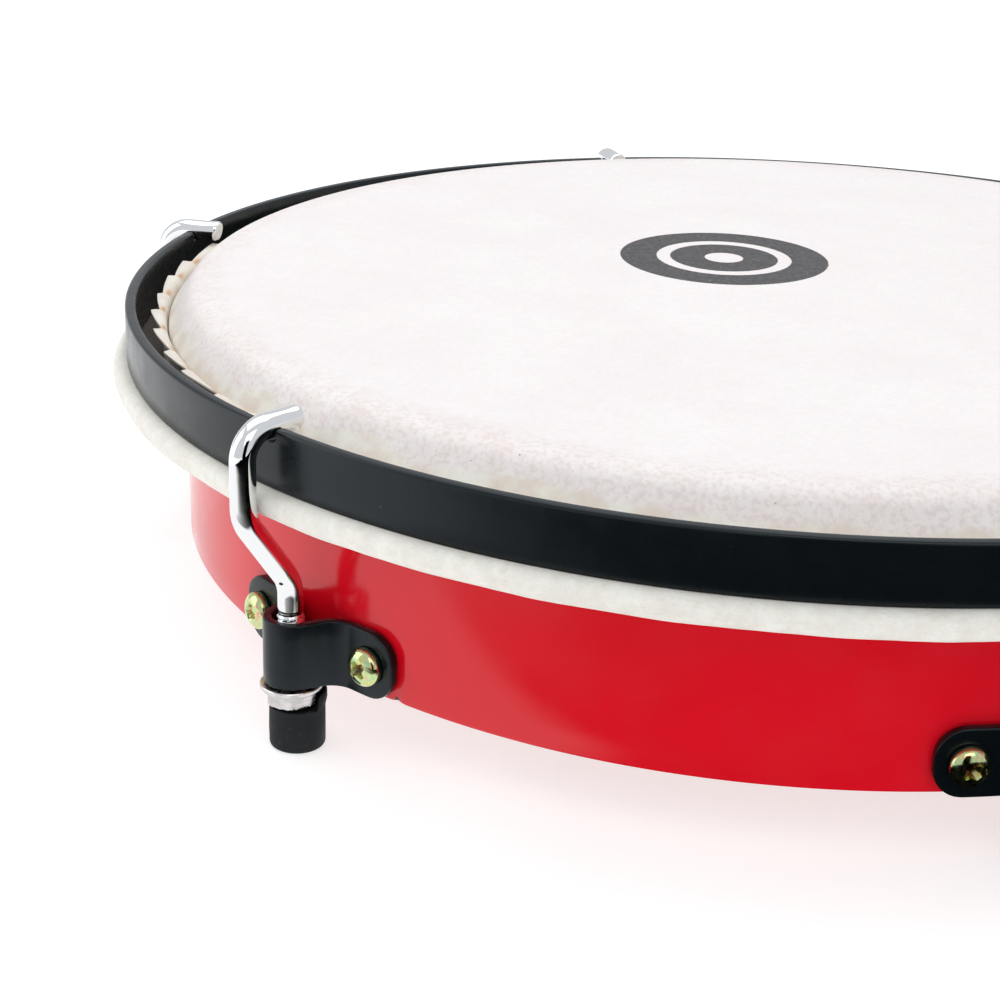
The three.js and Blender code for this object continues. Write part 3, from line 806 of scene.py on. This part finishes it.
def rod_centre_line():
    """Stations along the rod, as (x, z, heading); headings turn from straight up towards +X."""
    rise = 2 * S_RADIUS * math.sin(S_ANGLE)
    spread = 2 * S_RADIUS * (1 - math.cos(S_ANGLE))
    slope = (HOOK_LEG - spread) / math.sin(S_ANGLE)
    s_bottom = S_TOP - rise - slope * math.cos(S_ANGLE)
    hook_height = HOOP_TOP - NOTCH_DEPTH + GAP + ROD_RADIUS
    stations = [[0.0, ROD_END, 0.0]]

    def straight(length, steps):
        x, z, heading = stations[-1]
        for i in range(1, steps + 1):
            d = length * i / steps
            stations.append([x + d * math.sin(heading), z + d * math.cos(heading), heading])

    def bend(radius, turn, steps):
        chord = 2 * radius * math.sin(abs(turn) / steps / 2)
        for _ in range(steps):
            x, z, heading = stations[-1]
            middle = heading + turn / steps / 2
            x, z = x + chord * math.sin(middle), z + chord * math.cos(middle)
            stations.append([x, z, heading + turn / steps])

    foot = THREAD_TOP + 1.5 - ROD_END
    straight(foot, int(foot * THREAD_ROWS_PER_TURN))
    straight(s_bottom - THREAD_TOP - 1.5, 3)
    bend(S_RADIUS, S_ANGLE, 12)
    straight(slope, 8)
    bend(S_RADIUS, -S_ANGLE, 12)
    straight(hook_height - HOOK_BEND - S_TOP, 6)
    bend(HOOK_BEND, -math.pi / 2, 20)
    straight(HOOK_LEG - HOOK_BEND - HOOK_TIP, 16)
    return stations


def thread_radius(height, angle, top, minor, major, pitch=1.0):
    """Radius of a rounded thread, fading out just below `top`."""
    phase = (height / pitch - angle / TAU) % 1.0
    crest = 0.5 + 0.5 * math.cos(TAU * phase)
    fade = min(max((top - height) / 1.2, 0), 1)
    return minor + (major - minor) * (crest ** 0.8) * fade + (major - minor) * 0.45 * (1 - fade)


def hook_template():
    """A chromed rod: threaded foot, S bend, leg, and the hook with its sheared, slightly pinched tip."""
    stations = rod_centre_line()
    distances = [0.0]
    for (ax, az, _), (bx, bz, _) in zip(stations, stations[1:]):
        distances.append(distances[-1] + math.hypot(bx - ax, bz - az))
    rows = []
    for (x, z, heading), along in zip(stations, distances):
        from_tip = distances[-1] - along
        row = []
        for j in range(ROD_SIDES):
            angle = TAU * j / ROD_SIDES
            if z < THREAD_TOP + 0.4 and heading == 0.0 and x == 0.0:
                radius = thread_radius(z, angle, THREAD_TOP, THREAD_MINOR, THREAD_MAJOR)
                radius = min(radius, THREAD_MINOR - 0.3 + (z - ROD_END) * 0.9)
            else:
                radius = ROD_RADIUS
            pinch = math.exp(-((from_tip - 3.2) / 2.6) ** 2)
            crease = math.exp(-((angle - 2.2) / 0.22) ** 2) + math.exp(-((angle - 4.3) / 0.3) ** 2)
            radius -= pinch * (0.10 + 0.22 * crease)
            radius -= 0.35 * max(0.0, 1 - from_tip / 0.5)
            nx, nz = math.cos(heading), -math.sin(heading)
            skew = 0.35 * math.cos(angle + 0.7) * max(0.0, 1 - from_tip / 3)
            px = x + nx * radius * math.cos(angle) + math.sin(heading) * skew
            pz = z + nz * radius * math.cos(angle) + math.cos(heading) * skew
            row.append((px, radius * math.sin(angle), pz))
        rows.append(row)
    points, faces = grid(rows, cap_first=True, cap_last=True)
    obj = mesh_object("hook_template", points, faces, Matrix.Rotation(HOOK_TWIST, 4, "Z"))
    obj.data.materials.append(chrome)
    return obj


def ear_end(side):
    """Angle of an ear's end from the rod's own direction; the ears and screws sit slightly to one side."""
    return math.asin(EAR_HALF_LENGTH / EAR_RADIUS) + side * BRACKET_TURN


def strap_line(side):
    """The bracket's middle line from the saddle's front to one ear's end, as (x, y, turn of normal)."""
    sweep = SADDLE_SWEEP
    reach = SADDLE_RADIUS + EAR_BEND
    distance = EAR_RADIUS + EAR_BEND
    bend_y = reach
    for _ in range(20):
        bend_x = math.sqrt(distance ** 2 - bend_y ** 2)
        wall = (SADDLE_AXIS + reach * math.cos(sweep) - bend_x) / math.sin(sweep)
        bend_y = reach * math.sin(sweep) + wall * math.cos(sweep)
    line = [(x, y, sweep * i / 14) for i, (x, y) in enumerate(
        arc(SADDLE_AXIS, 0, SADDLE_RADIUS, 0, math.degrees(sweep), 14))]
    x0, y0, _ = line[-1]
    for i in range(1, 5):
        d = wall * i / 5
        line.append((x0 - d * math.sin(sweep), y0 + d * math.cos(sweep), sweep))
    rest = math.atan2(bend_y, bend_x)
    turns = [sweep + (rest - sweep) * i / 12 for i in range(13)]
    line += [(bend_x - EAR_BEND * math.cos(t), bend_y - EAR_BEND * math.sin(t), t) for t in turns]
    end = ear_end(side)
    straight_end = end - EAR_CORNER / EAR_RADIUS
    turns = [rest + (straight_end - rest) * i / 8 for i in range(1, 9)]
    turns += [straight_end + (end - straight_end) * math.sin(i / 14 * math.pi / 2) for i in range(1, 15)]
    return line + [(EAR_RADIUS * math.cos(t), EAR_RADIUS * math.sin(t), t) for t in turns]


def bracket_template():
    """The pressed strap with softly rolled edges, rounded ear corners and screw holes."""
    line = [(x, -y, -turn) for x, y, turn in strap_line(-1)[:0:-1]] + strap_line(1)
    soft = 0.5
    rows = []
    for x, y, turn in line:
        end_angle = ear_end(1 if y > 0 else -1)
        from_end = max(0.0, (end_angle - abs(math.atan2(y, x))) * EAR_RADIUS)
        inset = 0.0
        if from_end < EAR_CORNER:
            inset = EAR_CORNER - math.sqrt(max(EAR_CORNER ** 2 - (EAR_CORNER - from_end) ** 2, 0))
        roll = soft - math.sqrt(max(soft ** 2 - max(soft - from_end, 0) ** 2, 0))
        inset = min(inset, (STRAP_TOP - STRAP_BOTTOM) / 2 - soft - 0.8)
        low, high = STRAP_BOTTOM + inset, STRAP_TOP - inset
        thick = STRAP / 2 - roll
        out, r = thick - soft * 0.9, soft * 0.9
        outline = arc(out, high - soft, r, 0, 90, 4) + arc(-out, high - soft, r, 90, 180, 4)
        outline += [(-thick, low + (high - low) * step) for step in (0.75, 0.5, 0.25)]
        outline += arc(-out, low + soft, r, 180, 270, 4) + arc(out, low + soft, r, 270, 360, 4)
        outline += [(thick, low + (high - low) * step) for step in (0.25, 0.5, 0.75)]
        rows.append([(x + d * math.cos(turn), y + d * math.sin(turn), z) for d, z in outline])
    points, faces = grid(rows, cap_first=True, cap_last=True)
    obj = mesh_object("bracket_template", points, faces)
    hole = turned([(2.3, -6), (2.3, 6)], 32)
    for side in (-1, 1):
        obj = boolean_cut(obj, mesh_object("hole", *hole, screw_place(0, side, EAR_RADIUS)))
    obj.data.materials.append(bracket_black)
    return obj


def nut_template(name, flats, flange_radius, flange_height, height, bore):
    """A flange nut about +Z: chamfered hexagon, conical flange on top and bore."""
    sides = 96
    apothem = flats / 2
    corner = apothem / math.cos(math.pi / 6)
    flange = height - flange_height

    def hex_row(z, limit):
        row = []
        for j in range(sides):
            angle = TAU * j / sides
            radius = apothem / math.cos((angle + math.pi / 6) % (math.pi / 3) - math.pi / 6)
            row.append(polar(min(radius, limit), angle, z))
        return row

    rows = [circle(bore + 0.35, 0, sides), circle(apothem - 0.35, 0, sides)]
    rows += [hex_row(0.12, apothem - 0.05), hex_row(0.32, (apothem + corner) / 2), hex_row(0.6, corner + 1)]
    rows += [hex_row(flange - 0.35, corner + 1), hex_row(flange, corner + 0.05)]
    profile = [(flange_radius - 0.55, flange + 0.12), (flange_radius - 0.1, flange + 0.35),
               (flange_radius, flange + 0.55), (flange_radius, height - 0.25),
               (flange_radius - 0.18, height - 0.03), (flange_radius - 0.5, height), (bore + 0.35, height)]
    profile += [(bore, height - 0.35 - (height - 0.7) * i / 8) for i in range(9)]
    rows += [circle(radius, z, sides) for radius, z in profile]
    obj = mesh_object(name, *grid(rows, closed_rows=True))
    obj.data.materials.append(nickel)
    return obj


CAP_SLIP = 1.2


def cap_mesh(lug):
    """A soft push-on cap whose mouth has torn and crept up one side against the nut."""
    rand = random.Random(40 + lug)
    tear = math.radians(176) if lug == VIEW_LUG else rand.uniform(0, TAU)
    slip = math.radians(142) if lug == VIEW_LUG else rand.uniform(0, TAU)
    slip_x, slip_y = CAP_SLIP * math.cos(slip), CAP_SLIP * math.sin(slip)
    outer = (cap_high.y - cap_low.y) / 2
    top = cap_high.z
    floor = ROD_END - GAP
    bore = 3.05
    tongue = nut_high.z - 1.75 - top
    sides = 144

    def lift(angle):
        away = abs((angle - tear + math.pi) % TAU - math.pi)
        lip = 1 / (1 + math.exp((away - 1.31) / 0.045))
        split = -0.9 * math.exp(-((away - 1.40) / 0.07) ** 2)
        ripple = 0.16 * soft_noise(math.cos(angle) * 3, math.sin(angle) * 3, lug * 5.3, 1.1)
        return lip, ripple + split

    def rim_point(radius, angle, height, share=1.0):
        x, y, z = polar(radius, angle, height)
        return (x + slip_x * share, y + slip_y * share, z)

    rows = []
    wall = arc(outer - 1.0, 1.0, 1.0, -90, 0, 6)[1:]
    wall = [(outer - 2.2, 0.0), (outer - 1.0, 0.0)] + wall
    for t in (0.2, 0.4, 0.6, 0.8, 0.93, 0.98):
        wall.append((outer - 0.05 * math.sin(math.pi * t), 1.0 + (top - 1.3) * t))
    for radius, height in wall:
        swell = 0.10 * math.sin(math.pi * min(height / top, 1))
        row = []
        for j in range(sides):
            a = TAU * j / sides
            dent = 0.07 * soft_noise(math.cos(a) * radius, math.sin(a) * radius, height + 9 * lug, 3.5)
            row.append(rim_point(radius + swell + (dent if height > 1 else 0), a, height))
        rows.append(row)
    for radius, share in ((outer + 0.02, 0.5), (outer, 0.92), (outer - 0.14, 1.0), (outer - 0.42, 1.0),
                          (outer - 0.5, 0.85), (outer - 0.46, 0.4)):
        row = []
        for j in range(sides):
            a = TAU * j / sides
            lip, ripple = lift(a)
            spread = 0.42 * lip
            row.append(rim_point(radius + spread, a, top - 0.25 + (tongue * lip + 0.25 + ripple) * share))
        rows.append(row)
    for radius, height in ((outer - 0.7, top - 0.3), (bore + 0.4, top - 0.35), (bore, top - 0.8),
                           (bore, floor + 0.3), (bore - 0.4, floor)):
        share = max(0.0, (radius - bore - 0.3) / (outer - bore - 1.0))
        rows.append([rim_point(radius, TAU * j / sides, height, share) for j in range(sides)])
    points, faces = grid(rows, cap_first=True, cap_last=True)
    obj = mesh_object(f"cap_{lug + 1}_rubber", points, faces, rod_place(lug))
    obj.data.materials.append(rubber)
    return obj


def screw_template():
    """M4 pan head screw along +Z, head up, with a tapered cross recess and a threaded shank."""
    head_radius, head_height = 4.2, 3.0
    shank = 16.0
    sides = 64

    def thread(angle, radius, z):
        r = thread_radius(z, angle, -1.6, 1.62, radius, 0.7)
        return min(r, 1.25 + (z + shank) * 0.9), z

    steps = int((shank - 1) / 0.7 * 7)
    rows = [circle(1.98, -shank + (shank - 1) * i / steps, sides, thread) for i in range(steps + 1)]
    profile = [(1.98, -0.9), (1.98, 0.0), (head_radius - 0.3, 0.0), (head_radius - 0.06, 0.1),
               (head_radius, 0.32), (head_radius, 0.95), (head_radius - 0.08, 1.35),
               (head_radius - 0.3, 1.8), (3.5, 2.2), (3.0, 2.5), (2.4, 2.74), (1.7, 2.9), (0.9, 2.98),
               (0.25, head_height)]
    rows += [circle(radius, z, sides) for radius, z in profile]
    points, faces = grid(rows, cap_first=True, cap_last=True)
    obj = mesh_object("screw_template", points, faces)
    depth = 1.9
    cross_rows = []
    for share, z in ((0.30, head_height - depth), (1.0, head_height), (1.08, head_height + 0.6)):
        reach, arm, root = 2.25 * share, 0.6 * (0.45 + 0.55 * share), 0.95 * (0.35 + 0.65 * share)
        row = []
        for k in range(4):
            quarter = TAU * k / 4
            for px, py in ((reach, -arm), (reach, arm), (root, root)):
                c, s = math.cos(quarter), math.sin(quarter)
                row.append((px * c - py * s, px * s + py * c, z))
        cross_rows.append(row)
    obj = boolean_cut(obj, mesh_object("cross", *grid(cross_rows, cap_first=True, cap_last=True)))
    # Marks the recess walls, which the yellow zinc finish darkens as painted shade.
    recess = []
    for v in obj.data.vertices:
        x, y, z = v.co / MM
        r = math.hypot(x, y)
        dome = head_height - 0.05 * r * r
        recess.append(1.0 if z > 0 and r < 2.4 and z < dome - 0.12 else 0.0)
    add_attribute(obj, "recess", recess)
    obj.data.materials.append(yellow_zinc)
    return obj


def hardware():
    """Six lugs: hook, bracket, nut, cap, two screws and two inner nuts each."""
    rand = random.Random(7)
    hook = hook_template()
    strap = bracket_template()
    flange_radius = (nut_high.y - nut_low.y) / 2
    outer_nut = nut_template("nut_template", 10.0, flange_radius, 1.4, nut_high.z - nut_low.z, 3.0)
    inner_nut = nut_template("inner_template", 7.0, 4.55, 1.1, INNER_NUT_HEIGHT, 2.05)
    screw = screw_template()
    for lug in range(LUGS):
        n = lug + 1
        attach(copy_to(hook, f"hook_{n}_rod", rod_place(lug)), f"hook_{n}", f"hook_rod_{n}")
        attach(copy_to(strap, f"bracket_{n}_strap", lug_place(lug)), "drum", f"bracket_{n}")
        spin = Matrix.Rotation(VIEW_NUT_TURN if lug == VIEW_LUG else rand.uniform(0, TAU), 4, "Z")
        place = rod_place(lug) @ Matrix.Translation((0, 0, nut_low.z)) @ spin
        attach(copy_to(outer_nut, f"nut_{n}_flanged", place), f"nut_{n}", f"flange_nut_{n}")
        attach(cap_mesh(lug), f"cap_{n}", f"rubber_cap_{n}")
        for side, letter in ((-1, "a"), (1, "b")):
            place = screw_place(lug, side, SCREW_SEAT, rand.uniform(0, TAU))
            obj = copy_to(screw, f"screw_{n}{letter}", place)
            attach(obj, "drum", f"bracket_screw_{n}{letter}")
            place = screw_place(lug, side, INNER_SEAT - INNER_NUT_HEIGHT, rand.uniform(0, TAU))
            obj = copy_to(inner_nut, f"inner_flange_nut_{n}{letter}", place)
            attach(obj, "drum", f"inner_nut_{n}{letter}")
    for template in (hook, strap, outer_nut, inner_nut, screw):
        bpy.data.objects.remove(template)


# ---------------------------------------------------------------- camera, light and floor

# In metres and watts. A card is (left, right, low, high) in the camera's own turn about +Z.
FLOOR_HALF = 12
FLOOR_GLOW = 0.62
FLOOR_CARD = (-0.33, 1.2, -1.1, 0.0)
CARD_FADE = (-0.22, -0.02)
FLOOR_LEVEL = 1.07
UPRIGHT_CARD = (-0.12, 0.2, 0.0, 0.55)
UPRIGHT_PLACE = -0.8
CARD_HEIGHT = 0.001
OVERHEAD_WATTS = 7.4
LEFT_WATTS = 3.7
FRONT_WATTS = 2.9
WORLD_STRENGTH = 0.72
CAMERA_TURN = 16.15
CAMERA_DOWN = 21.22
CAMERA_ROLL = 1.73
CAMERA_PLACE = (66.9, -491.9, 204.65)
CAMERA_LENS = 72


def camera():
    data = bpy.data.cameras.new("camera")
    data.lens = CAMERA_LENS
    data.sensor_width = 36
    data.clip_start = 0.01
    obj = bpy.data.objects.new("camera", data)
    bpy.context.scene.collection.objects.link(obj)
    turn = Matrix.Rotation(math.radians(CAMERA_TURN), 4, "Z")
    tilt = Matrix.Rotation(math.radians(90 - CAMERA_DOWN), 4, "X")
    roll = Matrix.Rotation(math.radians(CAMERA_ROLL), 4, "Z")
    obj.matrix_world = Matrix.Translation(Vector(CAMERA_PLACE) * MM) @ turn @ tilt @ roll
    bpy.context.scene.camera = obj


def softbox(name, place, target, size, power):
    data = bpy.data.lights.new(name, "AREA")
    data.shape = "RECTANGLE"
    data.size, data.size_y = size
    data.energy = power
    obj = bpy.data.objects.new(name, data)
    bpy.context.scene.collection.objects.link(obj)
    aim = Vector(target) - Vector(place)
    obj.location = place
    obj.rotation_euler = aim.to_track_quat("-Z", "Y").to_euler()


def rectangle(left, right, low, high):
    return [(left, low), (right, low), (right, high), (left, high)]


def flat_sheet(name, corners, place=None):
    """A flat sheet on the stage, in metres."""
    mesh = bpy.data.meshes.new(name)
    mesh.from_pydata(corners, [], [tuple(range(len(corners)))])
    obj = bpy.data.objects.new(name, mesh)
    bpy.context.scene.collection.objects.link(obj)
    if place:
        obj.matrix_world = place
    return obj


def black_card(name, corners, material, place):
    """A card that only mirror reflections see."""
    card = flat_sheet(name, corners, place)
    card.data.materials.append(material)
    card.visible_camera = False
    card.visible_diffuse = False
    card.visible_shadow = False


def card_material(fading):
    """Plain black; a fading card brightens to the floor's level towards its left back corner."""
    f = Finish("fading_card" if fading else "plain_card")
    f.set(Base_Color=(0, 0, 0, 1), Roughness=1.0, Specular_IOR_Level=0.0)
    if fading:
        x, y, _ = f.node("ShaderNodeSeparateXYZ", {0: f.place}).outputs
        start, end = CARD_FADE
        left = f.math("DIVIDE", f.math("SUBTRACT", end, x), end - start, clamp=True)
        side = f.mul(f.math("POWER", left, 2.4), f.remap(y, -0.30, -0.22))
        near = f.mul(f.remap(y, -0.176, -0.160), f.remap(x, -0.05, -0.08))
        glow = f.mul(f.math("MAXIMUM", side, near), FLOOR_LEVEL)
        f.set(Emission_Color=(1, 1, 1, 1), Emission_Strength=glow)
    return f.material


def studio():
    """A pale lit floor, three softboxes, and black cards for the dark streaks in the chrome."""
    size = FLOOR_HALF
    floor = flat_sheet("floor", [(x, y, 0) for x, y in rectangle(-size, size, -size, size)])
    f = Finish("floor")
    base = f.mix(f.noise(300, detail=2), (0.50, 0.50, 0.50, 1), (0.54, 0.54, 0.54, 1))
    f.set(Base_Color=base, Roughness=0.7, Emission_Color=(1, 1, 1, 1), Emission_Strength=FLOOR_GLOW,
          Specular_IOR_Level=0.1, Normal=f.bump(f.noise(1.5), 0.02, 0.2))
    floor.data.materials.append(f.material)

    turn = Matrix.Rotation(math.radians(CAMERA_TURN), 4, "Z")
    corners = [(x, y, CARD_HEIGHT) for x, y in rectangle(*FLOOR_CARD)]
    black_card("floor_card", corners, card_material(True), turn)
    corners = [(x, UPRIGHT_PLACE, z) for x, z in rectangle(*UPRIGHT_CARD)]
    black_card("upright_card", corners, card_material(False), turn)

    def at(x, y, z):
        return turn @ Vector((x, y, z))

    softbox("overhead", at(-0.1, 0.35, 1.3), at(0, 0.05, 0), (1.6, 1.2), OVERHEAD_WATTS)
    softbox("left", at(-1.3, 0.0, 0.6), at(0, 0, 0.03), (0.9, 1.2), LEFT_WATTS)
    softbox("front_high", at(0.15, -1.1, 1.0), at(0, -0.1, 0.03), (1.0, 0.7), FRONT_WATTS)

    world = bpy.data.worlds.new("studio")
    world.use_nodes = True
    background = world.node_tree.nodes["Background"]
    background.inputs["Color"].default_value = (0.94, 0.97, 1.0, 1)
    background.inputs["Strength"].default_value = WORLD_STRENGTH
    scene = bpy.context.scene
    scene.world = world
    scene.view_settings.view_transform = "Standard"
    scene.view_settings.look = "None"
    scene.view_settings.exposure = 0.0


# ---------------------------------------------------------------- assembly

camera()
studio()
red_shell = red_shell_finish()
hoop_black = black_steel_finish("hoop_black", 0.5, 0.23, 1.40)
bracket_black = black_steel_finish("bracket_black", 0.8, 0.22, 1.38)
chrome = chrome_finish()
nickel = nickel_finish()
yellow_zinc = yellow_zinc_finish()
rubber = rubber_finish()
wood = wood_finish()
skin_material = skin_finish()

shell_body()
hoop_ring()
flesh_hoop_core()
head_skin()
skin_flap()
hardware()
